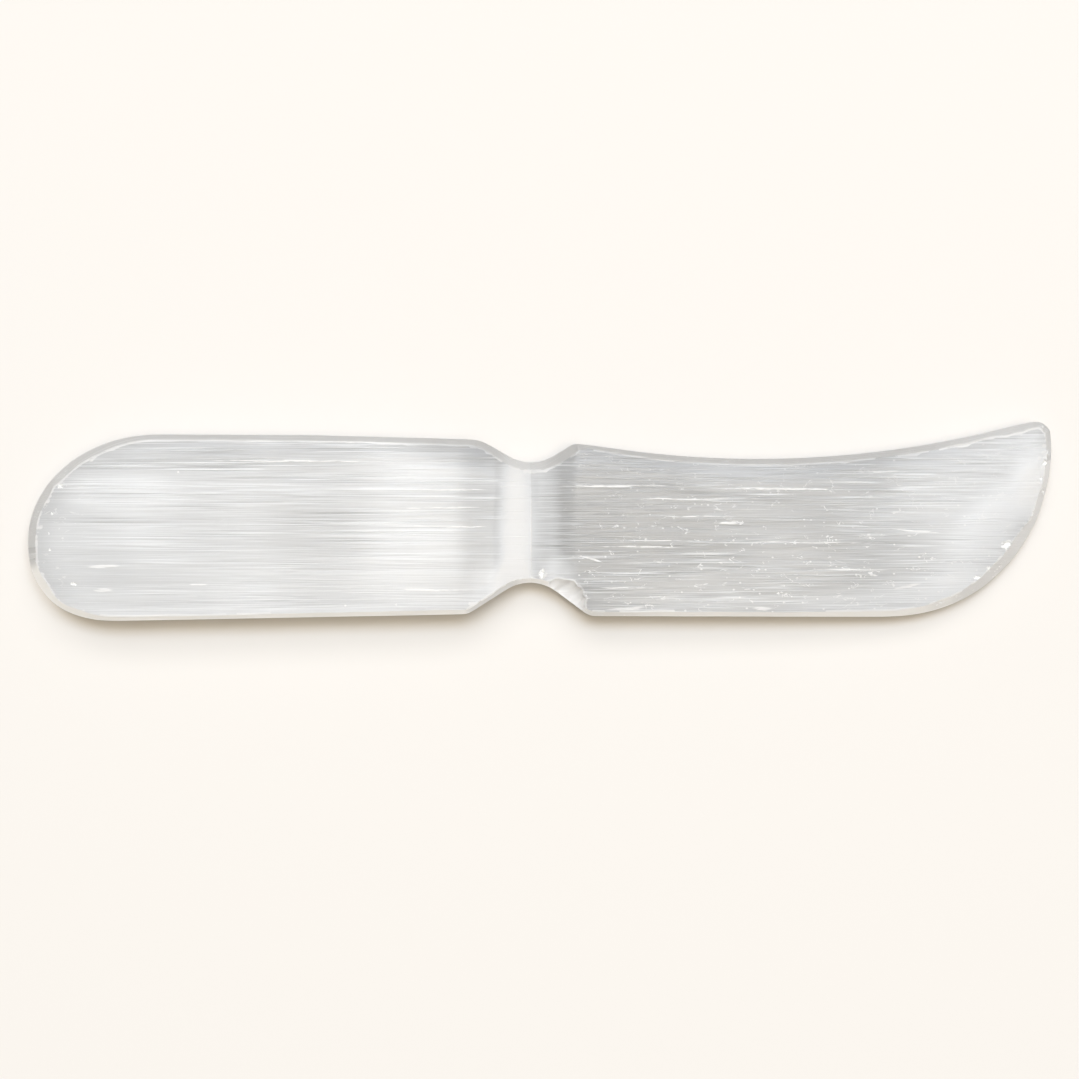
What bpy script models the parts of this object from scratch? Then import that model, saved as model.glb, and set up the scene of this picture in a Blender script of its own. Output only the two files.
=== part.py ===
"""A selenite knife carved from one bar of satin spar, lying on its flat back.

The outline of the knife is two chains of points, the lower edge and the spine, that run
from the butt to the tip. Stations across the outline are paired on the two chains. A
bevelled rim joins the front and the back, and the front is a net of faces between them.

X runs from the rounded butt to the tip, Y across the width towards the spine, and Z up
through the thickness. The origin is under the middle of the knife, on its flat back.
"""

import math
import random

import bmesh
import bpy
import numpy as np

MM = 0.001

# Outline of the butt: a quarter of an ellipse above its nose, and a fuller one below.
BUTT_X = -100 * MM
BUTT_NOSE_Y = -3.9 * MM
BUTT_TOP_REACH = 25.5 * MM
BUTT_BOTTOM_REACH = 17.2 * MM
BUTT_BOTTOM_POWER = 2.3

# Outline of the handle and the waist: corners as (x, y, radius), towards the blade. The
# notches in the two edges were ground round one wheel.
HANDLE_TOP_Y = 16.8 * MM
HANDLE_BOTTOM_Y = -19.4 * MM
WAIST_RADIUS = 8.5 * MM
TOP_CORNERS = (
    (-44 * MM, 16.65 * MM, 0),
    (-11.9 * MM, 15.8 * MM, 7 * MM),
    (-1.8 * MM, 10.1 * MM, WAIST_RADIUS),
    (6.4 * MM, 15.1 * MM, 1 * MM),
)
BOTTOM_CORNERS = (
    (-82 * MM, HANDLE_BOTTOM_Y, 0),
    (-14.2 * MM, -18.1 * MM, 2.5 * MM),
    (-1.8 * MM, -10.2 * MM, WAIST_RADIUS),
    (9.4 * MM, -18.5 * MM, 2 * MM),
    (65 * MM, -18.7 * MM, 0),
)

# Outline of the blade: a hollow arc for its spine, and a superellipse for its belly.
SPINE_START_X = 12 * MM
SPINE_LOW_X = 42.1 * MM
SPINE_LOW_Y = 12.1 * MM
SPINE_RADIUS = 195 * MM
SPINE_END_X = 94 * MM
TIP_X = 100 * MM
TIP_CORNER = (TIP_X, 20.1 * MM, 3 * MM)
BELLY_TOP_Y = 14.7 * MM
BELLY_BOTTOM_Y = -18.7 * MM
BELLY_REACH = 33 * MM
BELLY_POWER = 2.15

# Height of the front along the knife, (x, z) from the butt to the tip. The steps at the
# waist are the two flanks of the groove, which meet in a sharp line.
GROOVE_LINE_X = -2.0 * MM
FRONT_HEIGHTS = (
    (-100 * MM, 11.2 * MM),
    (-80 * MM, 11.9 * MM),
    (-55 * MM, 12.0 * MM),
    (-24 * MM, 11.9 * MM),
    (-16 * MM, 11.5 * MM),
    (-8.6 * MM, 10.7 * MM),
    (GROOVE_LINE_X, 8.7 * MM),
    (-1.0 * MM, 9.2 * MM),
    (2.0 * MM, 9.7 * MM),
    (6.5 * MM, 10.2 * MM),
    (14 * MM, 10.3 * MM),
    (60 * MM, 9.7 * MM),
    (82 * MM, 8.9 * MM),
    (100 * MM, 7.4 * MM),
)
# Height of the back: flat on what it rests on, but for its own shallow groove.
BACK_GROOVE_START_X = -10 * MM
BACK_GROOVE_END_X = 6.5 * MM
BACK_GROOVE_DEPTH = 1.4 * MM

# Rim: how far the front's bevel reaches in from each edge, as (x, width), and its slope.
TOP_BEVELS = (
    (-100 * MM, 1.9 * MM),
    (-76 * MM, 1.15 * MM),
    (-12 * MM, 1.15 * MM),
    (-7 * MM, 1.4 * MM),
    (2.5 * MM, 1.8 * MM),
    (6.2 * MM, 1.8 * MM),
    (8.5 * MM, 0.75 * MM),
    (24 * MM, 1.1 * MM),
    (100 * MM, 1.3 * MM),
)
BOTTOM_BEVELS = (
    (-100 * MM, 1.9 * MM),
    (-86 * MM, 0.85 * MM),
    (50 * MM, 0.9 * MM),
    (76 * MM, 1.4 * MM),
    (89 * MM, 2.3 * MM),
    (95 * MM, 2.3 * MM),
    (100 * MM, 1.3 * MM),
)
BEVEL_STEEPNESS = 1.35
BACK_BEVEL = 1.3 * MM
BACK_BEVEL_RISE = 1.7 * MM
LEAST_WALL = 1.6 * MM

# Shoulder: the soft fall of the front from its flat middle to the rim's bevel. It grows
# wider and deeper towards the belly.
SHOULDER_WIDTH = 5.5 * MM
SHOULDER_DROP = 0.4 * MM
BELLY_SHOULDER_WIDTH = 11 * MM
BELLY_SHOULDER_DROP = 1.8 * MM
BELLY_SHOULDER_X = (40 * MM, 88 * MM)
BELLY_SHOULDER_Y = (-2 * MM, 12 * MM)

# Hand grinding: faceted bevels at the two ends, and faint long flutes along the fibres.
SEED = 7
END_FACET = 0.26 * MM
EDGE_FACET = 0.06 * MM
BUTT_FACETS_X = (-92 * MM, -78 * MM)
BELLY_FACETS_X = (74 * MM, 86 * MM)
FLUTE_HEIGHT = 0.09 * MM
HANDLE_FLUTES_X = (-100 * MM, -82 * MM, -30 * MM, -12 * MM)
BLADE_FLUTES_X = (8 * MM, 26 * MM, 64 * MM, 92 * MM)

# A shell-shaped flake lost from the blade's lower shoulder, as a ball would cut it.
FLAKE_CENTRE = (3.6 * MM, -16.2 * MM, 12.2 * MM)
FLAKE_RADIUS = 5.4 * MM

ROWS = 20
BUTT_STEPS = 16
HANDLE_STEPS = 24
WAIST_STEPS = 28
BLADE_STEPS = 24
BELLY_STEPS = 22
WAIST_START_X = -16 * MM
WAIST_END_X = 12 * MM
ARC_POINTS = 31
ARC_STEP = math.radians(4)
SHARP_ANGLE = math.radians(18)


def quarter(centre, reach_x, reach_y, power):
    """Points on a quarter of a superellipse, from its end on the X axis to that on Y."""
    points = []
    for i in range(ARC_POINTS):
        angle = math.pi / 2 * i / (ARC_POINTS - 1)
        across = math.cos(angle) ** (2 / power)
        along = math.sin(angle) ** (2 / power)
        points.append((centre[0] + reach_x * across, centre[1] + reach_y * along))
    return points


def rounded(corners):
    """The polyline through (x, y, radius) corners, each turned by an arc of its radius."""
    points = []
    for i, (x, y, radius) in enumerate(corners):
        here = np.array((x, y))
        if radius == 0:
            points.append((x, y))
            continue
        back = np.array(corners[i - 1][:2]) - here
        ahead = np.array(corners[i + 1][:2]) - here
        back /= np.linalg.norm(back)
        ahead /= np.linalg.norm(ahead)
        half = math.acos(float(np.clip(back @ ahead, -1, 1))) / 2
        middle = here + (back + ahead) / np.linalg.norm(back + ahead) * radius / math.sin(half)
        start = here + back * radius / math.tan(half) - middle
        turn = math.pi - 2 * half
        side = np.sign(back[0] * ahead[1] - back[1] * ahead[0])
        steps = max(2, math.ceil(turn / ARC_STEP))
        for k in range(steps + 1):
            angle = -side * turn * k / steps
            c, s = math.cos(angle), math.sin(angle)
            spoke = (start[0] * c - start[1] * s, start[0] * s + start[1] * c)
            points.append((middle[0] + spoke[0], middle[1] + spoke[1]))
    return points


def spine_y(x):
    """The hollow arc of the blade's back."""
    return SPINE_LOW_Y + (x - SPINE_LOW_X) ** 2 / (2 * SPINE_RADIUS)


def upper_chain():
    """The outline over the top, from the butt's nose to the tip."""
    butt = quarter(
        (BUTT_X + BUTT_TOP_REACH, BUTT_NOSE_Y), -BUTT_TOP_REACH, HANDLE_TOP_Y - BUTT_NOSE_Y, 2
    )
    spine = [(x, spine_y(x), 0) for x in np.linspace(SPINE_START_X, SPINE_END_X, ARC_POINTS)]
    return butt + rounded([*TOP_CORNERS, *spine, TIP_CORNER, (TIP_X, BELLY_TOP_Y, 0)])


def lower_chain():
    """The outline along the bottom, from the butt's nose to the tip."""
    butt = quarter(
        (BUTT_X + BUTT_BOTTOM_REACH, BUTT_NOSE_Y),
        -BUTT_BOTTOM_REACH,
        HANDLE_BOTTOM_Y - BUTT_NOSE_Y,
        BUTT_BOTTOM_POWER,
    )
    belly = quarter(
        (TIP_X - BELLY_REACH, BELLY_TOP_Y), BELLY_REACH, BELLY_BOTTOM_Y - BELLY_TOP_Y, BELLY_POWER
    )
    return butt + rounded(BOTTOM_CORNERS) + belly[::-1]


def station_places():
    """Where along X the two chains are paired: close together at the ends and the waist."""
    butt_end = BUTT_X + BUTT_TOP_REACH
    belly_start = TIP_X - BELLY_REACH
    rise = [1 - math.cos(math.pi / 2 * i / BUTT_STEPS) for i in range(1, BUTT_STEPS)]
    fall = [math.sin(math.pi / 2 * i / BELLY_STEPS) for i in range(BELLY_STEPS)]
    return (
        [BUTT_X + BUTT_TOP_REACH * r for r in rise]
        + list(np.linspace(butt_end, WAIST_START_X, HANDLE_STEPS, endpoint=False))
        + list(np.linspace(WAIST_START_X, WAIST_END_X, WAIST_STEPS, endpoint=False))
        + list(np.linspace(WAIST_END_X, belly_start, BLADE_STEPS, endpoint=False))
        + [belly_start + BELLY_REACH * f for f in fall]
    )


def points_at(chain, places):
    """The chain's points at those places along X."""
    xs, ys = np.array(chain).T
    return np.column_stack((places, np.interp(places, xs, ys)))


def inward(points):
    """Unit normals into a closed loop that runs anticlockwise."""
    along = np.roll(points, -1, axis=0) - np.roll(points, 1, axis=0)
    along /= np.linalg.norm(along, axis=1)[:, None]
    return np.column_stack((-along[:, 1], along[:, 0]))


def distance_inside(point, loop):
    """How far a point lies from the nearest side of the closed loop."""
    start, end = loop, np.roll(loop, -1, axis=0)
    side = end - start
    share = ((point - start) * side).sum(axis=1) / (side * side).sum(axis=1)
    nearest = start + side * np.clip(share, 0, 1)[:, None]
    return float(np.linalg.norm(nearest - point, axis=1).min())


def smooth(value, start, end):
    """0 before start, 1 after end, and an even S between."""
    t = min(1.0, max(0.0, (value - start) / (end - start)))
    return t * t * (3 - 2 * t)


def front_height(x):
    """The front's height along the middle of the knife."""
    xs, zs = zip(*FRONT_HEIGHTS)
    return float(np.interp(x, xs, zs))


def back_height(x):
    """The back's height: a groove across the waist, and flat elsewhere."""
    rise = smooth(x, BACK_GROOVE_START_X, GROOVE_LINE_X)
    fall = 1 - smooth(x, GROOVE_LINE_X, BACK_GROOVE_END_X)
    return BACK_GROOVE_DEPTH * min(rise, fall)


def bevel_width(x, on_top):
    """How far the front's bevel reaches in from the outline."""
    xs, widths = zip(*(TOP_BEVELS if on_top else BOTTOM_BEVELS))
    return float(np.interp(x, xs, widths))


def end_share(x):
    """1 at the butt and along the belly, where the bevels are faceted, and 0 between."""
    return max(1 - smooth(x, *BUTT_FACETS_X), smooth(x, *BELLY_FACETS_X))


def shoulder_fall(point, depth, bevel):
    """How far the front has fallen where it is that deep inside the outline."""
    belly = smooth(point[0], *BELLY_SHOULDER_X) * (1 - smooth(point[1], *BELLY_SHOULDER_Y))
    width = SHOULDER_WIDTH + belly * (BELLY_SHOULDER_WIDTH - SHOULDER_WIDTH)
    drop = SHOULDER_DROP + belly * (BELLY_SHOULDER_DROP - SHOULDER_DROP)
    left = max(0.0, 1 - (depth - bevel) / width)
    return drop * left * left


def plateau(x, start, full, fade, end):
    """0 outside start and end, 1 from full to fade, and smooth between."""
    return smooth(x, start, full) * (1 - smooth(x, fade, end))


class Knife:
    """The knife's net of points and faces, built up as a bmesh."""

    def __init__(self):
        places = station_places()
        nose, point = np.array([(BUTT_X, BUTT_NOSE_Y)]), np.array([(TIP_X, BELLY_TOP_Y)])
        low = points_at(lower_chain(), places)
        top = points_at(upper_chain(), places)
        self.stations = len(places)
        self.loop = np.vstack((nose, low, point, top[::-1]))
        self.normals = inward(self.loop)
        self.mesh = bmesh.new()
        self.random = random.Random(SEED)
        self.handle_flutes = [self.random.uniform(-1, 1) for _ in range(ROWS)]
        self.blade_flutes = [self.random.uniform(-1, 1) for _ in range(ROWS)]

    def on_top(self, i):
        return i > self.stations + 1

    def ring(self, depths, heights):
        """A closed ring of vertices at these depths inside the outline."""
        places = self.loop + self.normals * np.array(depths)[:, None]
        return [self.mesh.verts.new((x, y, z)) for (x, y), z in zip(places, heights)]

    def band(self, outer, inner):
        """Faces between two rings of the same count."""
        count = len(outer)
        for i in range(count):
            j = (i + 1) % count
            self.mesh.faces.new((outer[i], outer[j], inner[j], inner[i]))

    def flute(self, x, row):
        """A faint long ridge or hollow along a row, fading out at the ends and the edges."""
        handle = plateau(x, *HANDLE_FLUTES_X) * self.handle_flutes[row]
        blade = plateau(x, *BLADE_FLUTES_X) * self.blade_flutes[row]
        return FLUTE_HEIGHT * math.sin(math.pi * row / ROWS) ** 2 * (handle + blade)

    def front_point(self, low, top, row):
        """The front's vertex on this row, between the crest's vertices low and top."""
        x, y, _ = low.co.lerp(top.co, 0.5 * (1 - math.cos(math.pi * row / ROWS)))
        bevel = bevel_width(x, row > ROWS / 2)
        depth = distance_inside((x, y), self.loop)
        z = front_height(x) - shoulder_fall((x, y), depth, bevel) + self.flute(x, row)
        return self.mesh.verts.new((x, y, z))

    def across(self, ring):
        """The front's lines of vertices across the knife, one for each station."""
        lines = []
        for i in range(1, self.stations + 1):
            low, top = ring[i], ring[len(ring) - i]
            middle = [self.front_point(low, top, row) for row in range(1, ROWS)]
            lines.append([low, *middle, top])
        return lines

    def net(self, ring, lines):
        """Faces over the stations' lines, closed by a fan at the butt and one at the tip."""
        nose, point = ring[0], ring[self.stations + 1]
        for a, b in zip(lines, lines[1:]):
            for j in range(len(a) - 1):
                self.mesh.faces.new((a[j], b[j], b[j + 1], a[j + 1]))
        for end, line in ((nose, lines[0]), (point, lines[-1][::-1])):
            for j in range(len(line) - 1):
                self.mesh.faces.new((end, line[j], line[j + 1]))

    def build_front(self):
        """The front and its bevel. Returns the ring at the bevel's foot."""
        bevels, crests, feet = [], [], []
        for i, (x, _) in enumerate(self.loop):
            facet = EDGE_FACET + end_share(x) * (END_FACET - EDGE_FACET)
            bevel = bevel_width(x, self.on_top(i)) + self.random.uniform(-1, 1) * facet
            place = self.loop[i] + self.normals[i] * bevel
            crest = front_height(x) - shoulder_fall(place, bevel, bevel)
            crest += 0.5 * self.random.uniform(-1, 1) * facet
            foot = max(crest - BEVEL_STEEPNESS * bevel, BACK_BEVEL_RISE + LEAST_WALL)
            bevels.append(bevel)
            crests.append(crest)
            feet.append(foot)
        crest_ring = self.ring(bevels, crests)
        foot_ring = self.ring([0] * len(feet), feet)
        self.band(foot_ring, crest_ring)
        self.net(crest_ring, self.across(crest_ring))
        return foot_ring

    def build_back(self):
        """The flat back, its bevel and its groove. Returns the ring at the bevel's top."""
        depths = [BACK_BEVEL] * len(self.loop)
        flat = self.loop + self.normals * BACK_BEVEL
        sole_ring = self.ring(depths, [back_height(x) for x, _ in flat])
        rise = [back_height(x) + BACK_BEVEL_RISE for x, _ in self.loop]
        top_ring = self.ring([0] * len(rise), rise)
        self.band(sole_ring, top_ring)
        last = self.stations + 1
        count = len(sole_ring)
        for i in range(1, self.stations):
            a, b, c, d = (sole_ring[k] for k in (i, count - i, count - i - 1, i + 1))
            self.mesh.faces.new((a, b, c, d))
        self.mesh.faces.new((sole_ring[0], sole_ring[count - 1], sole_ring[1]))
        self.mesh.faces.new((sole_ring[last], sole_ring[last - 1], sole_ring[last + 1]))
        return top_ring

    def finish(self, name):
        """The closed body as an object."""
        foot_ring = self.build_front()
        self.band(self.build_back(), foot_ring)
        bmesh.ops.recalc_face_normals(self.mesh, faces=self.mesh.faces[:])
        data = bpy.data.meshes.new(name)
        self.mesh.to_mesh(data)
        self.mesh.free()
        knife = bpy.data.objects.new(name, data)
        bpy.context.scene.collection.objects.link(knife)
        return knife


def lose_flake(knife):
    """Takes the shell-shaped flake off with a ball that is left hidden as its cutter."""
    ball_mesh = bmesh.new()
    bmesh.ops.create_icosphere(ball_mesh, subdivisions=4, radius=FLAKE_RADIUS)
    data = bpy.data.meshes.new("flake_cutter")
    ball_mesh.to_mesh(data)
    ball_mesh.free()
    ball = bpy.data.objects.new("flake_cutter", data)
    ball.location = FLAKE_CENTRE
    ball.hide_render = True
    ball.display_type = "WIRE"
    bpy.context.scene.collection.objects.link(ball)
    cut = knife.modifiers.new("flake", "BOOLEAN")
    cut.operation = "DIFFERENCE"
    cut.solver = "EXACT"
    cut.object = ball


def satin_spar():
    """Milky, silky gypsum that light passes into."""
    material = bpy.data.materials.new("satin_spar")
    material.use_nodes = True
    shader = material.node_tree.nodes["Principled BSDF"]
    shader.inputs["Base Color"].default_value = (0.80, 0.81, 0.81, 1)
    shader.inputs["Roughness"].default_value = 0.28
    shader.inputs["Metallic"].default_value = 0.0
    shader.inputs["IOR"].default_value = 1.52
    shader.inputs["Transmission Weight"].default_value = 0.5
    return material


def main():
    for old in list(bpy.data.objects):
        bpy.data.objects.remove(old)
    knife = Knife().finish("selenite_knife")
    knife.data.materials.append(satin_spar())
    lose_flake(knife)
    knife.data.shade_smooth()
    knife.data.set_sharp_from_angle(angle=SHARP_ANGLE)


main()
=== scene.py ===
import math

import bpy
import numpy as np
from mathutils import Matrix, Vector, noise
from mathutils.kdtree import KDTree


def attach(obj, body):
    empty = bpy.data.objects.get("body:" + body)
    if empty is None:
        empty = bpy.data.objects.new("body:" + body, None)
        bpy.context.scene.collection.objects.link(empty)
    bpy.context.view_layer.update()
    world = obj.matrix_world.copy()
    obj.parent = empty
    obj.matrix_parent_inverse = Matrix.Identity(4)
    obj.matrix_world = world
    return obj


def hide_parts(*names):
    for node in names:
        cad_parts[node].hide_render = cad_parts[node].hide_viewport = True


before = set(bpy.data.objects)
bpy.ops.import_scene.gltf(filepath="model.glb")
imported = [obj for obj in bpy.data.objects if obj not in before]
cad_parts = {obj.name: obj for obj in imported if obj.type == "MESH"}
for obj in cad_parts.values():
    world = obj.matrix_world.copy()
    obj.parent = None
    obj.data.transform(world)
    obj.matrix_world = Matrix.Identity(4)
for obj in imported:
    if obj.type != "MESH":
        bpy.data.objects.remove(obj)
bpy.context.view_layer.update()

MM = 0.001

# The knife as the frame gives it.
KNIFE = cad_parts["selenite_knife"]

# Camera: straight above, a little below the knife's middle line.
LENS = 85
SENSOR = 36
FRAME_WIDTH = 211.2 * MM
CAMERA_AIM = Vector((-0.3 * MM, -3.6 * MM, 6 * MM))

# Edges: loose triangles are merged and joined to quads, every ground edge is broken by a fine
# round, and what still turns by more than the last angle is shaded sharp.
MERGE = 0.002 * MM
QUAD_FACE_ANGLE = math.radians(25)
QUAD_SHAPE_ANGLE = math.radians(60)
EDGE_ANGLE = math.radians(20)
EDGE_ROUND = 0.30 * MM
SHARP_ANGLE = math.radians(28)

# The front and the back: how far up or down a normal points there, and the cuts that part the
# front's faces into rows for its ridges.
FACE_TURN = 0.7
FRONT_CUTS = 3

# Fibre relief: soft and hard fibres polish to fine ridges and open splits along X, given as
# (length, width, height). Each reads its own layer of the noise, and so does the back.
RIDGES = (
    (160 * MM, 2.6 * MM, 0.016 * MM),
    (90 * MM, 1.0 * MM, 0.014 * MM),
    (30 * MM, 0.5 * MM, 0.008 * MM),
)
RIDGE_LAYER = 7
SPLIT_LENGTH = 60 * MM
SPLIT_WIDTH = 1.6 * MM
SPLIT_REACH = 0.08
SPLIT_DEPTH = 0.025 * MM
SPLIT_LAYER = 30
BACK_LAYER = 50.0

# The flake lost from the blade's lower shoulder, cut again with the ripples of the blow.
FLAKE_CENTRE = Vector((3.6 * MM, -16.2 * MM, 12.2 * MM))
FLAKE_RADIUS = 5.55 * MM
FLAKE_BLOW = FLAKE_CENTRE + Vector((4.5 * MM, -3 * MM, -2 * MM))
FLAKE_RIPPLE = 0.14 * MM
FLAKE_RIPPLE_LENGTH = 1.8 * MM

# The small chips round the edges: (x, y) and radius in millimetres, how much longer they are
# along X, and how much of the radius is in the stone. Roughness and grain are shares of the
# radius too.
CHIPS = (
    (91.2, -4.6, 1.1, 1.5, 0.35),
    (96.2, 1.4, 0.8, 0.8, 0.35),
    (98.3, 5.6, 0.9, 0.6, 0.35),
    (98.6, 11.3, 0.8, 0.7, 0.35),
    (98.9, 13.6, 0.6, 0.8, 0.40),
    (97.9, 8.3, 0.5, 0.8, 0.35),
    (98.1, 18.5, 0.45, 0.7, 0.35),
    (85.4, -11.0, 0.6, 1.8, 0.30),
    (87.6, -9.1, 0.5, 1.3, 0.30),
    (78.5, -15.8, 0.5, 1.8, 0.30),
    (0.2, -10.2, 1.1, 1.1, 0.30),
    (-94.7, 1.4, 0.40, 0.6, 0.35),
    (-95.3, -2.4, 0.35, 0.5, 0.35),
    (-95.1, -5.6, 0.45, 0.6, 0.35),
    (-93.1, 6.7, 0.6, 1.4, 0.30),
    (-90.5, -12.2, 0.5, 1.6, 0.30),
)
CHIP_ROUGHNESS = 0.45
CHIP_GRAIN = 0.35

# White edges: wear from handling, with a painted highlight along the inner crease and a painted
# glow of light through the stone along the low side's outer edge. How sharply they stand out (per
# mm), how far the white reaches (mm), and where their normals point. The inner edge is white but
# for the handle's low side, and the outer edge is white on the low side alone.
WHITE_EDGE_CREST = 1.5
WHITE_EDGE_REACH = 0.38
SHORTEST_STEP = 0.02 * MM
FLAKE_RIM = 1.3 * FLAKE_RADIUS
INNER_UP, INNER_SIDE, INNER_END = 0.62, -0.15, 0.25
OUTER_UP, OUTER_SIDE, OUTER_END = 0.6, -0.2, 0.4

# The low side's ground faces, by where their normals point. Their colours paint the glow of
# light through the stone there, and some shade.
GROUND_AND_GLOW_SIDE = -0.05
GROUND_AND_GLOW_UP = 0.9

# How milky the stone is in the handle and in the blade, between which it turns at the waist,
# and how it drifts from place to place (length along X, Y and Z in millimetres).
HANDLE_MILK = 0.62
BLADE_MILK = 0.13
WAIST = (-1.5, 2.5)
MILK_SHIFT = 0.16
MILK_DRIFT = np.array((20, 8, 10))

# Milky and clear clouds inside the stone: (x, y), reach in x and y, turn in degrees, and how
# much milk each adds. All in millimetres. A cloud is full past a share of the way in. The clouds
# marked below also paint light: sheen, a highlight, shade, and the glow of light through the
# stone.
CLOUD_CORE = 0.75
CLOUDS = {
    # Painted sheen: the bright patch the fibres throw near the butt.
    "butt": (-80.5, 4.5, 15, 7.5, 0, 0.24),
    "butt_end": (-92, -4, 10, 20, 0, 0.04),
    "handle_middle": (-43, 1, 15, 26, 0, -0.14),
    # Painted sheen: the bright band across the handle's end.
    "handle_end": (-26, -3, 12, 22, 0, 0.12),
    # Painted shade along the handle's top edge, where the stone is also clearer.
    "handle_end_top": (-15, 15.5, 19, 6.5, 0, -0.46),
    "handle_top": (-58, 15.5, 62, 8, 0, -0.26),
    # Painted glow of light through the stone along the handle's low edge.
    "handle_foot": (-56, -17, 62, 6, 0, 0.14),
    "handle_rim": (-55, -18.4, 60, 2.8, 0, 0.28),
    # Painted shade where the handle slopes into the waist.
    "handle_dip": (-12.0, 1, 6.0, 24, 0, -0.30),
    "dip_foot": (-10, -14, 6, 8, 0, 0.40),
    # Milky stone on the waist's flank, painted brighter as the highlight it catches.
    "neck_flank": (-5.0, -2, 4.5, 26, 0, 0.80),
    "neck_foot": (-5.5, -12.5, 6, 7, 0, 0.55),
    "neck_right": (0.6, -2, 4.4, 26, 0, 0.50),
    "flake_side": (3.6, -11, 4.5, 6, 0, 0.60),
    # Painted shade along the blade's top edge, where the stone is also clearer.
    "spine": (20, 14, 22, 7, 0, -0.34),
    "spine_end": (58, 13.5, 34, 5.5, 0, -0.26),
    "blade_clear": (14, 2, 24, 22, 0, -0.18),
    "blade_low": (40, -14, 60, 7, 0, 0.10),
    # Painted glow of light through the stone along the blade's low edge.
    "blade_rim": (40, -16.8, 46, 4, 0, 0.26),
    "tip": (92, 3, 38, 30, 25, 0.50),
    "tip_low": (87.5, -1.5, 22, 7.5, 46, 0.40),
    "tip_end": (98, 8, 8, 11, 0, 0.42),
    "belly": (73, -14.5, 30, 6, 8, 0.42),
}

# The longest bright needles in the front: (x, y), half length, half width, turn in degrees.
# They lie at one height over the back, reach up and down from it, and sway across the fibres.
# All in millimetres.
NEEDLE_HEIGHT = 10.5
NEEDLE_REACH = 8
NEEDLE_SWAY = 0.8
NEEDLES = (
    (-84.6, -8.8, 3.8, 0.45, 0),
    (-84.7, -13.5, 2.4, 0.40, 0),
    (-66.3, -12.3, 2.2, 0.26, 0),
    (-48, 11.6, 20, 0.20, 0),
    (-20, 6.1, 12, 0.22, 0),
    (-19.5, 2.5, 10, 0.24, 0),
    (-19, -1.0, 12, 0.20, 0),
    (-21, -13.4, 9, 0.24, 0),
    (15, 6.8, 14, 0.22, 0),
    (46, 6.2, 16, 0.24, -0.5),
    (36.5, -0.3, 2.4, 0.36, 0),
    (19, -5.0, 10, 0.20, 0),
    (9.5, -7.4, 3.0, 0.22, -14),
    (17, -13.1, 6.5, 0.20, 0),
    (16.5, -17.0, 4.8, 0.36, 4),
    (65.6, 9.6, 5.0, 0.26, 0),
    (43.0, -17.0, 2.4, 0.45, 0),
    (73, -1.9, 6.0, 0.22, -6),
    (71.5, -12.7, 3.6, 0.40, 12),
    (-5.2, 6.8, 3.6, 0.22, 0),
    (-3.9, 4.7, 0.7, 0.28, -20),
    (-1.9, -1.5, 0.2, 11, 0),
    (30, 4.3, 18, 0.15, 0),
    (48, -4.2, 22, 0.16, 0),
    (22, -3.8, 9, 0.15, 0),
    (30, 0.9, 10, 0.15, 0),
    (60, -9.5, 10, 0.15, 0),
)

# Fibres: how much milk the bundles and the bright hairs add and the clear gaps take, how much
# shorter they are in the blade, how fast each pattern changes along, across and into the stone
# (per mm), and how much of the stone has no specks.
STREAKS = 0.58
HAIRS = 0.44
GAPS = 0.18
SHORTER_IN_BLADE = 0.5
BUNDLE_SCALE = (0.05, 2.6, 1.0)
HAIR_SCALE = (0.05, 4.4, 1.0)
GAP_SCALE = (0.04, 4.0, 1.0)
SPREAD_SCALE = (0.03, 0.30, 0.2)
GRAIN_SCALE = (0.10, 6.0, 2.0)
SWAY_SCALE = (0.12, 0.5, 0.2)
FRAY_SCALE = (0.5, 5.0, 2.0)
CRACK_SCALE = (0.16, 0.42, 0.3)
CRACK_BREAK_SCALE = (0.35, 0.6, 0.4)
SPECK_SCALE = (0.8, 1.1, 0.7)
NO_SPECKS = 0.85

# Stone colours. Four paint light and shade by where a face points: painted shade on turned
# faces, a painted glow of light through the stone on the low side's faces, and painted shade on
# the low side's upright faces and on those turned to the tip.
CLEAR_STONE = (0.381, 0.386, 0.391, 1)
MILKY_STONE = (0.865, 0.88, 0.898, 1)
TURNED_FACE_SHADE = (0.76, 0.755, 0.745, 1)
LOW_SIDE_GLOW = (0.97, 0.96, 0.94, 1)
UPRIGHT_FACE_SHADE = (0.5, 0.5, 0.5, 1)
TIP_FACE_SHADE = (0.74, 0.74, 0.74, 1)
MILKIEST_STONE = (0.98, 0.98, 0.98, 1)
WHITE_MARK = (0.97, 0.97, 0.97, 1)
BROKEN_STONE = (0.96, 0.96, 0.96, 1)
BROKEN_SHARE = 0.78

# Each finish: roughness, how much of the light it lets through, and the gloss on top of it.
FINISHES = {
    "polished": (0.3, 0.5, 0.15),
    # The ground finish's colours also paint the low side's glow and shade.
    "ground": (0.5, 0.2, 0.03),
    "fractured": (0.5, 0.3, 0.03),
}
GLOSS_ROUGHNESS = 0.15
SELENITE_IOR = 1.52
BUMP_HEIGHT = 0.05 * MM

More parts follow.
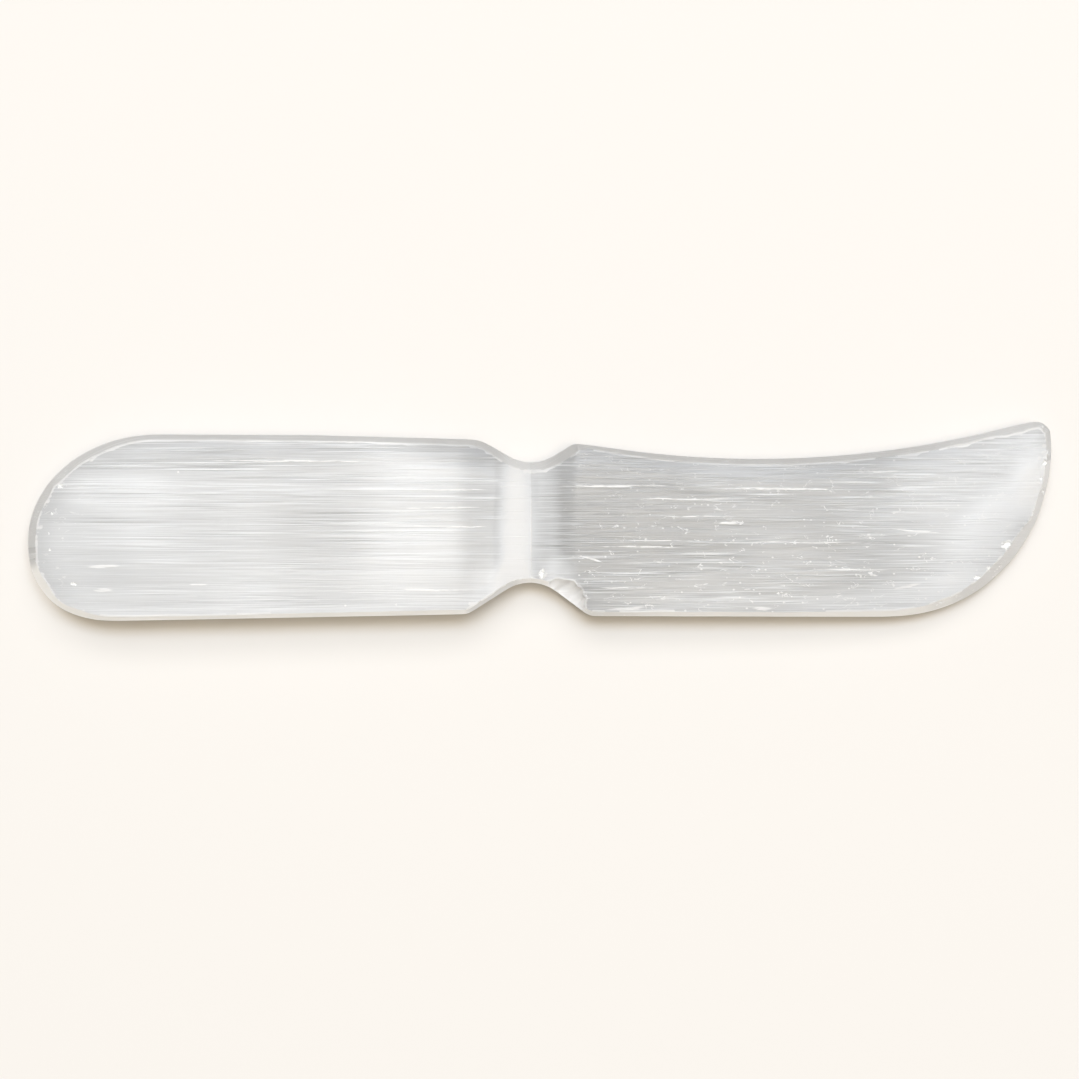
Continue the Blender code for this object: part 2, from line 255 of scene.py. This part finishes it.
# Studio: a pale floor, a warm dim room and four soft boxes, given as (place, aim, width, depth,
# power, colour, the rays that don't see it).
FLOOR_SIZE = 6
FLOOR_DROP = 0.02 * MM
FLOOR_COLOUR = (0.62, 0.602, 0.58, 1)
FLOOR_ROUGHNESS = 0.9
ROOM_COLOUR = (1.0, 0.85, 0.62, 1)
ROOM_STRENGTH = 0.25
LIGHTS = {
    "window": (
        (0.1, 0.7, 2.6), (0, 0, 0), 1.6, 0.66, 55.5, (0.722, 0.833, 1.0), ("glossy",)
    ),
    "wall": (
        (0, 1.6, 2.3), (0, 0, 0), 2.4, 0.9, 26.3, (1.0, 0.98, 0.97), ()
    ),
    "overhead": (
        (0.1, 0.1, 2.6), (0, 0, 0), 1.4, 0.55, 42.3, (1.0, 0.9, 0.74), ("glossy",)
    ),
    "card": (
        (0.3, 0.6, 2.6), (0.3, 0.6, 0), 3.2, 2.5, 24, (1.0, 0.98, 0.95),
        ("diffuse", "transmission"),
    ),
}


def only(obj):
    """Makes this the one selected and active object."""
    bpy.ops.object.select_all(action="DESELECT")
    obj.select_set(True)
    bpy.context.view_layer.objects.active = obj


def apply_modifier(obj, kind, **settings):
    """Adds a modifier, sets it and applies it."""
    modifier = obj.modifiers.new(kind.lower(), kind)
    for name, value in settings.items():
        setattr(modifier, name, value)
    only(obj)
    bpy.ops.object.modifier_apply(modifier=modifier.name)


def places(mesh):
    """Every vertex's place and normal, as two arrays."""
    points = np.empty(len(mesh.vertices) * 3, np.float32)
    normals = np.empty(len(mesh.vertices) * 3, np.float32)
    mesh.vertices.foreach_get("co", points)
    mesh.vertices.foreach_get("normal", normals)
    return points.reshape(-1, 3).astype(float), normals.reshape(-1, 3).astype(float)


def move_to(mesh, points):
    """Moves every vertex to its place in the array."""
    mesh.vertices.foreach_set("co", points.astype(np.float32).ravel())
    mesh.update()


def store(mesh, name, values):
    """Keeps a value for each vertex, for the materials to read."""
    layer = mesh.attributes.new(name, "FLOAT", "POINT")
    layer.data.foreach_set("value", values.astype(np.float32))


def smooth(value, start, end):
    """0 before the start and 1 after the end, with an easy step between."""
    share = np.clip((value - start) / (end - start), 0, 1)
    return share * share * (3 - 2 * share)


def dressed_copy(node, name):
    """A copy of a node's mesh, merged and in quads, ready to be finished."""
    piece = node.copy()
    piece.data = node.data.copy()
    piece.name = name
    piece.data.name = name
    piece.parent = None
    bpy.context.scene.collection.objects.link(piece)
    piece.data.materials.clear()
    only(piece)
    bpy.ops.mesh.customdata_custom_splitnormals_clear()
    bpy.ops.object.mode_set(mode="EDIT")
    bpy.ops.mesh.select_all(action="SELECT")
    bpy.ops.mesh.remove_doubles(threshold=MERGE)
    bpy.ops.mesh.tris_convert_to_quads(
        face_threshold=QUAD_FACE_ANGLE, shape_threshold=QUAD_SHAPE_ANGLE
    )
    bpy.ops.object.mode_set(mode="OBJECT")
    return piece


def part_across(piece, cuts):
    """Cuts the front into narrow rows along the fibres, for its ridges."""
    mesh = piece.data
    points, normals = places(mesh)
    only(piece)
    bpy.ops.object.mode_set(mode="EDIT")
    bpy.ops.mesh.select_mode(type="EDGE")
    bpy.ops.mesh.select_all(action="DESELECT")
    bpy.ops.object.mode_set(mode="OBJECT")
    for edge in mesh.edges:
        a, b = edge.vertices
        across = abs(points[b] - points[a])
        faces_out = min(normals[a][2], normals[b][2]) > FACE_TURN
        edge.select = bool(faces_out and across[1] > across[0] and across[1] > across[2])
    bpy.ops.object.mode_set(mode="EDIT")
    bpy.ops.mesh.subdivide(number_cuts=cuts)
    bpy.ops.object.mode_set(mode="OBJECT")


def ridge_height(x, y, layer):
    """Height of the fine relief at a place on the front or the back."""
    height = 0.0
    for index, (length, width, size) in enumerate(RIDGES):
        place = Vector((x / length, y / width, layer + RIDGE_LAYER * index))
        height += size * noise.noise(place)
    split = abs(noise.noise(Vector((x / SPLIT_LENGTH, y / SPLIT_WIDTH, layer + SPLIT_LAYER))))
    return height - SPLIT_DEPTH * max(0.0, 1 - split / SPLIT_REACH)


def raise_fibres(piece):
    """Fine long ridges on both faces. On the back they only go inwards, so it still lies flat."""
    mesh = piece.data
    points, normals = places(mesh)
    for point, normal in zip(points, normals):
        facing = abs(normal[2])
        if facing < FACE_TURN:
            continue
        if normal[2] > 0:
            point[2] += ridge_height(point[0], point[1], 0.0) * facing
        else:
            point[2] += abs(ridge_height(point[0], point[1], BACK_LAYER)) * facing
    move_to(mesh, points)


def surface_under(piece, x, y):
    """The place and normal where a line straight down meets the knife."""
    return piece.ray_cast(Vector((x, y, 1)), Vector((0, 0, -1)))[1:3]


def ball(name, centre, radius, along=1.0, subdivisions=3):
    """A ball to cut with, made longer or shorter along X."""
    bpy.ops.object.select_all(action="DESELECT")
    bpy.ops.mesh.primitive_ico_sphere_add(
        subdivisions=subdivisions, radius=radius, location=centre
    )
    cutter = bpy.context.object
    cutter.name = name
    bpy.ops.transform.resize(value=(along, 1, 1))
    bpy.ops.object.transform_apply(location=True, rotation=True, scale=True)
    return cutter


def roughen(cutter, amount, grain):
    """Breaks up a cutter's skin, so that it leaves a broken face and not a round one."""
    points, normals = places(cutter.data)
    for point, normal in zip(points, normals):
        point += normal * amount * noise.noise(Vector(point) / grain)
    move_to(cutter.data, points)


def ripple(cutter, blow):
    """Shell ripples that spread from the point that took the blow."""
    points, normals = places(cutter.data)
    for point, normal in zip(points, normals):
        far = (Vector(point) - blow).length
        point += normal * FLAKE_RIPPLE * math.sin(far * 2 * math.pi / FLAKE_RIPPLE_LENGTH)
    move_to(cutter.data, points)


def make_cutters(piece, fracture):
    """The ball of the flake and the balls of the small chips, joined in one cutter."""
    flake = ball("flake", FLAKE_CENTRE, FLAKE_RADIUS, subdivisions=5)
    ripple(flake, FLAKE_BLOW)
    cutters = [flake]
    for x, y, radius, along, depth in CHIPS:
        place, normal = surface_under(piece, x * MM, y * MM)
        radius *= MM
        chip = ball("chip", place + normal * radius * (1 - depth), radius, along)
        roughen(chip, radius * CHIP_ROUGHNESS, radius * CHIP_GRAIN)
        cutters.append(chip)
    bpy.ops.object.select_all(action="DESELECT")
    for cutter in cutters:
        cutter.select_set(True)
    bpy.context.view_layer.objects.active = flake
    bpy.ops.object.join()
    flake.data.materials.append(fracture)
    return flake


def lose_chips(piece, fracture):
    """Takes the flake and the chips off the knife, and leaves broken stone there."""
    cutters = make_cutters(piece, fracture)
    apply_modifier(
        piece,
        "BOOLEAN",
        object=cutters,
        operation="DIFFERENCE",
        solver="MANIFOLD",
        material_mode="TRANSFER",
    )
    bpy.data.objects.remove(cutters)


def ellipse(x, y, centre_x, centre_y, reach_x, reach_y, turn):
    """1 at the centre of a turned ellipse, falling evenly to 0 at its edge."""
    turn = math.radians(turn)
    along = (x - centre_x) * math.cos(turn) + (y - centre_y) * math.sin(turn)
    across = (y - centre_y) * math.cos(turn) - (x - centre_x) * math.sin(turn)
    return np.clip(1 - np.hypot(along / reach_x, across / reach_y), 0, 1)


def mark_milk(piece):
    """Stores how milky the stone is at each vertex."""
    points = places(piece.data)[0] / MM
    x, y = points[:, 0], points[:, 1]
    milk = BLADE_MILK + (HANDLE_MILK - BLADE_MILK) * smooth(-x, *WAIST)
    drift = np.array([noise.noise(Vector(place)) for place in points / MILK_DRIFT])
    milk += MILK_SHIFT * drift
    for *shape, strength in CLOUDS.values():
        milk += strength * smooth(ellipse(x, y, *shape), 0, CLOUD_CORE)
    store(piece.data, "milk", milk)


def crests(mesh, points, normals):
    """How sharply each vertex stands out of its neighbours, per millimetre."""
    ends = np.empty(len(mesh.edges) * 2, np.int32)
    mesh.edges.foreach_get("vertices", ends)
    ends = ends.reshape(-1, 2)
    total = np.zeros(len(points))
    count = np.zeros(len(points))
    for a, b in ((ends[:, 0], ends[:, 1]), (ends[:, 1], ends[:, 0])):
        step = points[b] - points[a]
        reach = np.maximum((step * step).sum(axis=1), SHORTEST_STEP ** 2)
        bend = -2 * (normals[a] * step).sum(axis=1) / reach
        np.add.at(total, a, bend)
        np.add.at(count, a, 1)
    return total / np.maximum(count, 1) * MM


def mark_edges(piece, fracture):
    """Stores each vertex's distance from the nearest white edge (wear and painted light), in
    millimetres.
    """
    mesh = piece.data
    points, normals = places(mesh)
    chipped, whole = np.zeros((2, len(points)), bool)
    for polygon in mesh.polygons:
        broken = mesh.materials[polygon.material_index] == fracture
        (chipped if broken else whole)[list(polygon.vertices)] = True
    x, y, z = normals.T
    # The inner crease takes a painted highlight and the low outer edge a painted glow, with the
    # wear.
    inner = (z > INNER_UP) & ((y > INNER_SIDE) | (x > INNER_END))
    outer = (z < OUTER_UP) & (y < OUTER_SIDE) & (x < OUTER_END)
    sharp = crests(mesh, points, normals) > WHITE_EDGE_CREST
    on_flake = np.linalg.norm(points - np.array(FLAKE_CENTRE), axis=1) < FLAKE_RIM
    rim = chipped & whole & on_flake
    wear_and_highlight = np.nonzero(rim | sharp & (inner | outer) & ~chipped)[0]
    tree = KDTree(len(wear_and_highlight))
    for index in wear_and_highlight:
        tree.insert(points[index], index)
    tree.balance()
    far = np.array([tree.find(point)[2] for point in points])
    store(mesh, "edge", far / MM)


def grind_and_glow_low_side(piece, material):
    """Gives the low side's faces their own ground finish, whose colours paint a glow and shade."""
    mesh = piece.data
    mesh.materials.append(material)
    for polygon in mesh.polygons:
        normal = polygon.normal
        if normal.y < GROUND_AND_GLOW_SIDE and abs(normal.z) < GROUND_AND_GLOW_UP:
            polygon.material_index = len(mesh.materials) - 1


def make_knife(polished, ground, fracture):
    """The whole carving: rounded edges, fibre ridges, chips, and the marks for its materials."""
    piece = dressed_copy(KNIFE, "carved_selenite")
    piece.data.materials.append(polished)
    apply_modifier(
        piece, "BEVEL", width=EDGE_ROUND, segments=2, limit_method="ANGLE", angle_limit=EDGE_ANGLE
    )
    apply_modifier(piece, "SUBSURF", levels=1, render_levels=1)
    part_across(piece, FRONT_CUTS)
    raise_fibres(piece)
    grind_and_glow_low_side(piece, ground)
    lose_chips(piece, fracture)
    mark_milk(piece)
    mark_edges(piece, fracture)
    only(piece)
    bpy.ops.object.shade_smooth_by_angle(angle=SHARP_ANGLE)
    return piece


class Nodes:
    """A node tree, written as it is read: each call adds a node and returns its output."""

    def __init__(self, tree):
        self.tree = tree

    def node(self, kind, inputs=None, **settings):
        made = self.tree.nodes.new(kind)
        for name, value in settings.items():
            setattr(made, name, value)
        for name, value in (inputs or {}).items():
            self.feed(made.inputs[name], value)
        return made

    def feed(self, socket, value):
        if isinstance(value, bpy.types.NodeSocket):
            self.tree.links.new(value, socket)
        else:
            socket.default_value = value

    def maths(self, operation, a, b=0.0, c=0.0, clamp=False):
        inputs = {0: a, 1: b, 2: c}
        return self.node("ShaderNodeMath", inputs, operation=operation, use_clamp=clamp).outputs[0]

    def times(self, a, b):
        return self.maths("MULTIPLY", a, b)

    def vector(self, operation, a, b=(0, 0, 0)):
        return self.node("ShaderNodeVectorMath", {0: a, 1: b}, operation=operation).outputs[0]

    def scaled(self, place, scale, shift=None):
        """A place for a noise to read, with its own scale along each axis and its own shift."""
        if shift:
            place = self.vector("ADD", place, shift)
        return self.vector("MULTIPLY", place, scale)

    def parts(self, vector):
        return self.node("ShaderNodeSeparateXYZ", {0: vector}).outputs

    def whole(self, x, y, z):
        return self.node("ShaderNodeCombineXYZ", {0: x, 1: y, 2: z}).outputs[0]

    def span(self, value, low, high, to_low=0.0, to_high=1.0):
        """An easy step from one value at low to another at high."""
        made = self.node(
            "ShaderNodeMapRange",
            {0: value, 1: low, 2: high, 3: to_low, 4: to_high},
            interpolation_type="SMOOTHSTEP",
        )
        return made.outputs[0]

    def noise(self, vector, detail, rough=0.5, distortion=0.0):
        made = self.node(
            "ShaderNodeTexNoise",
            {
                "Vector": vector,
                "Scale": 1.0,
                "Detail": detail,
                "Roughness": rough,
                "Distortion": distortion,
            },
        )
        return made.outputs["Fac"]

    def cells(self, vector):
        return self.node("ShaderNodeTexVoronoi", {"Vector": vector, "Scale": 1.0}).outputs

    def blob(self, place, centre, reach, turn):
        """1 at the centre of an ellipsoid, falling to 0 at its skin."""
        local = self.node(
            "ShaderNodeMapping",
            {0: place, 1: centre, 2: (0, 0, math.radians(turn)), 3: reach},
            vector_type="TEXTURE",
        ).outputs[0]
        made = self.node("ShaderNodeTexGradient", {0: local}, gradient_type="SPHERICAL")
        return made.outputs["Fac"]

    def choose(self, factor, a, b):
        """One number or the other."""
        return self.node("ShaderNodeMix", {0: factor, 2: a, 3: b}, data_type="FLOAT").outputs[0]

    def mix(self, factor, a, b):
        """One colour over another."""
        made = self.node("ShaderNodeMix", {0: factor}, data_type="RGBA", clamp_factor=True)
        self.feed(made.inputs[6], a)
        self.feed(made.inputs[7], b)
        return made.outputs[2]


def millimetres(n):
    """The place on the knife, in millimetres."""
    place = n.node("ShaderNodeTexCoord").outputs["Object"]
    inputs = {0: place, "Scale": 1 / MM}
    return n.node("ShaderNodeVectorMath", inputs, operation="SCALE").outputs[0]


def grain_place(n):
    """A place in fibre space, in mm: along the fibres, across them, and into the stone."""
    x, y, z = n.parts(millimetres(n))
    facing = n.vector("ABSOLUTE", n.node("ShaderNodeTexCoord").outputs["Normal"])
    turned_x, turned_y, turned_z = n.parts(facing)
    across = n.choose(n.maths("GREATER_THAN", turned_y, turned_z), y, z)
    into = n.times(z, n.span(turned_x, 0.6, 0.9, 0.12, 1.5))
    along = n.maths("MULTIPLY_ADD", n.maths("MAXIMUM", x, 0.0), SHORTER_IN_BLADE, x)
    return n.whole(along, across, into)


def fibre_milk(n, grain):
    """How much milk the fibres add or take: bundles, bright hairs and clear gaps."""
    along, across = n.parts(grain)[:2]
    bundles = n.maths("SUBTRACT", n.noise(n.scaled(grain, BUNDLE_SCALE), 1, 0.6), 0.5)
    hairs = n.span(n.noise(n.scaled(grain, HAIR_SCALE), 0), 0.56, 0.70)
    gaps = n.span(n.noise(n.scaled(grain, GAP_SCALE, (40, 5, 8)), 0), 0.42, 0.28)
    milk = n.maths("MULTIPLY_ADD", gaps, -GAPS, n.times(bundles, STREAKS))
    # Fainter in the blade and stronger again in its tip.
    milk = n.times(milk, n.span(along, -2, 5, 1.0, 0.7))
    milk = n.times(milk, n.span(along, 80, 130, 1.0, 1.6))
    milk = n.maths("MULTIPLY_ADD", hairs, HAIRS, milk)
    # Strong and faint places, and calm low on the handle and in the end of its butt.
    spread = n.noise(n.scaled(grain, SPREAD_SCALE, (11, 3, 9)), 1)
    spread = n.span(spread, 0.36, 0.62, 0.3, 1.5)
    low_handle = n.times(n.span(along, 0, -6), n.span(across, 2, -8))
    calm = n.maths("MULTIPLY_ADD", low_handle, -0.66, 1.0)
    calm = n.times(calm, n.span(along, -96, -84, 0.5, 1.0))
    return n.times(n.times(milk, spread), calm)


def needle_mask(n, place):
    """The long bright needles, swayed and frayed."""
    drift = n.noise(n.scaled(place, SWAY_SCALE), 1)
    sway = n.maths("MULTIPLY_ADD", drift, NEEDLE_SWAY, -NEEDLE_SWAY / 2)
    swayed = n.vector("ADD", place, n.whole(0, sway, 0))
    needles = 0.0
    for x, y, length, width, turn in NEEDLES:
        needle = n.blob(swayed, (x, y, NEEDLE_HEIGHT), (length, width, NEEDLE_REACH), turn)
        needles = n.maths("MAXIMUM", needles, needle)
    frayed = n.noise(n.scaled(place, FRAY_SCALE), 1)
    return n.span(n.times(needles, n.span(frayed, 0.3, 0.6, 0.25, 1.2)), 0.05, 0.5)


def crack_mask(n, place):
    """Short bright cracks and specks, in the blade and in the end of the butt."""
    wander = n.noise(n.scaled(place, CRACK_SCALE), 3, 0.6, 0.6)
    seam = n.span(n.maths("ABSOLUTE", n.maths("SUBTRACT", wander, 0.5)), 0.013, 0.004)
    broken = n.noise(n.scaled(place, CRACK_BREAK_SCALE, (5, 9, 2)), 1)
    cracks = n.times(seam, n.span(broken, 0.54, 0.60))
    speck = n.cells(n.scaled(place, SPECK_SCALE))
    rare = n.maths("GREATER_THAN", n.parts(speck["Color"])[0], NO_SPECKS)
    specks = n.times(n.span(speck["Distance"], 0.26, 0.10), rare)
    x, y = n.parts(place)[:2]
    in_blade = n.times(n.span(x, 2, 9), n.span(y, 12, -8, 0.3, 1.0))
    where = n.maths("MAXIMUM", in_blade, n.span(x, -86, -93, 0.0, 0.6))
    return n.times(n.maths("MAXIMUM", cracks, specks), where)


def make_fibre_group():
    """The stone's fibres: the milk they add or take, the finest grain, needles and cracks."""
    tree = bpy.data.node_groups.new("fibres", "ShaderNodeTree")
    for output in ("Milk", "Grain", "Cracks", "Needles"):
        tree.interface.new_socket(output, in_out="OUTPUT", socket_type="NodeSocketFloat")
    n = Nodes(tree)
    out = n.node("NodeGroupOutput").inputs
    grain = grain_place(n)
    place = millimetres(n)
    n.feed(out["Milk"], fibre_milk(n, grain))
    n.feed(out["Grain"], n.noise(n.scaled(grain, GRAIN_SCALE), 0))
    n.feed(out["Cracks"], crack_mask(n, place))
    n.feed(out["Needles"], needle_mask(n, place))
    return tree


def facing_light_layer(n, finish, milk):
    """Painted light and shade by where each face points: the colour and how much of it shows."""
    x, y, z = n.parts(n.node("ShaderNodeTexCoord").outputs["Normal"])
    up = n.maths("ABSOLUTE", z)
    share = n.times(n.span(up, 0.93, 0.80), n.span(up, 0.1, 0.5, 0.5, 1.0))
    if finish != "ground":
        # Turned polished and broken faces: painted shade.
        return TURNED_FACE_SHADE, n.times(share, 0.7)
    # Low side: a painted glow on faces turned to it, painted shade on upright and tip-facing
    # faces.
    colour = n.mix(n.span(y, 0.0, -0.35), UPRIGHT_FACE_SHADE, LOW_SIDE_GLOW)
    colour = n.mix(n.span(x, 0.15, 0.5), colour, TIP_FACE_SHADE)
    return colour, n.times(share, n.span(milk, 0.2, 0.5, 0.65, 1.0))


def white_marks(n, fibre, milk):
    """The needles, the cracks and the white edges: wear with a painted highlight and glow."""
    edge = n.node("ShaderNodeAttribute", attribute_name="edge").outputs["Fac"]
    # White edges: wear, with a painted highlight on the inner crease and glow on the low outer
    # edge.
    wear_and_highlight = n.span(edge, WHITE_EDGE_REACH, WHITE_EDGE_REACH * 0.5)
    wear_and_highlight = n.times(wear_and_highlight, n.span(fibre["Grain"], 0.35, 0.6, 0.7))
    wear_and_highlight = n.times(wear_and_highlight, n.span(milk, 0.15, 0.45, 0.4, 1.0))
    return n.maths("MAXIMUM", n.maths("MAXIMUM", fibre["Needles"], fibre["Cracks"]), wear_and_highlight)


def selenite(finish, fibres):
    """Fibrous selenite that lets light through, in one of its finishes."""
    material = bpy.data.materials.new(finish + "_selenite")
    material.use_nodes = True
    tree = material.node_tree
    n = Nodes(tree)
    shader = tree.nodes["Principled BSDF"].inputs
    fibre = n.node("ShaderNodeGroup", node_tree=fibres).outputs
    milk = n.node("ShaderNodeAttribute", attribute_name="milk").outputs["Fac"]
    facing_light_colour, facing_light_share = facing_light_layer(n, finish, milk)
    marks = white_marks(n, fibre, milk)

    body = n.mix(n.maths("ADD", milk, fibre["Milk"], clamp=True), CLEAR_STONE, MILKY_STONE)
    body = n.mix(n.span(milk, 0.95, 1.5), body, MILKIEST_STONE)
    # Painted light and shade by where each face points.
    body = n.mix(facing_light_share, body, facing_light_colour)
    body = n.mix(marks, body, WHITE_MARK)
    if finish == "fractured":
        body = n.mix(BROKEN_SHARE, body, BROKEN_STONE)
    n.feed(shader["Base Color"], body)

    roughness, transmission, gloss = FINISHES[finish]
    shader["Roughness"].default_value = roughness
    shader["IOR"].default_value = SELENITE_IOR
    shader["Transmission Weight"].default_value = transmission
    shader["Coat Weight"].default_value = gloss
    shader["Coat Roughness"].default_value = GLOSS_ROUGHNESS

    height = n.maths("MULTIPLY_ADD", fibre["Grain"], 0.5, fibre["Milk"])
    height = n.maths("ADD", height, n.times(marks, 0.3))
    bump = n.node("ShaderNodeBump", {"Height": height, "Strength": 1.0, "Distance": BUMP_HEIGHT})
    n.feed(shader["Normal"], bump.outputs[0])
    return material


def make_floor():
    """The plain pale floor, just under the knife."""
    bpy.ops.mesh.primitive_plane_add(size=FLOOR_SIZE, location=(0, 0, -FLOOR_DROP))
    floor = bpy.context.object
    floor.name = "floor"
    material = bpy.data.materials.new("floor")
    material.use_nodes = True
    shader = material.node_tree.nodes["Principled BSDF"].inputs
    shader["Base Color"].default_value = FLOOR_COLOUR
    shader["Roughness"].default_value = FLOOR_ROUGHNESS
    shader["Specular IOR Level"].default_value = 0.0
    floor.data.materials.append(material)


def make_room():
    """The dim warm light from all round."""
    world = bpy.data.worlds.new("studio")
    world.use_nodes = True
    background = world.node_tree.nodes["Background"].inputs
    background["Color"].default_value = ROOM_COLOUR
    background["Strength"].default_value = ROOM_STRENGTH
    bpy.context.scene.world = world


def make_lights():
    """The four soft boxes."""
    for name, (place, aim, width, depth, power, colour, hidden) in LIGHTS.items():
        data = bpy.data.lights.new(name, "AREA")
        data.shape = "RECTANGLE"
        data.size = width
        data.size_y = depth
        data.energy = power
        data.color = colour
        light = bpy.data.objects.new(name, data)
        light.location = place
        light.rotation_euler = (Vector(aim) - Vector(place)).to_track_quat("-Z", "Y").to_euler()
        for ray in hidden:
            setattr(light, "visible_" + ray, False)
        bpy.context.scene.collection.objects.link(light)


def make_camera():
    """The camera, looking straight down."""
    data = bpy.data.cameras.new("camera")
    data.lens = LENS
    data.sensor_width = SENSOR
    distance = FRAME_WIDTH * LENS / SENSOR
    camera = bpy.data.objects.new("camera", data)
    camera.location = CAMERA_AIM + Vector((0, 0, distance))
    bpy.context.scene.collection.objects.link(camera)
    bpy.context.scene.camera = camera


make_camera()
fibres = make_fibre_group()
knife = make_knife(
    selenite("polished", fibres), selenite("ground", fibres), selenite("fractured", fibres)
)
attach(knife, "root")
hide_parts("selenite_knife")
make_floor()
make_room()
make_lights()
bpy.context.scene.view_settings.view_transform = "Standard"
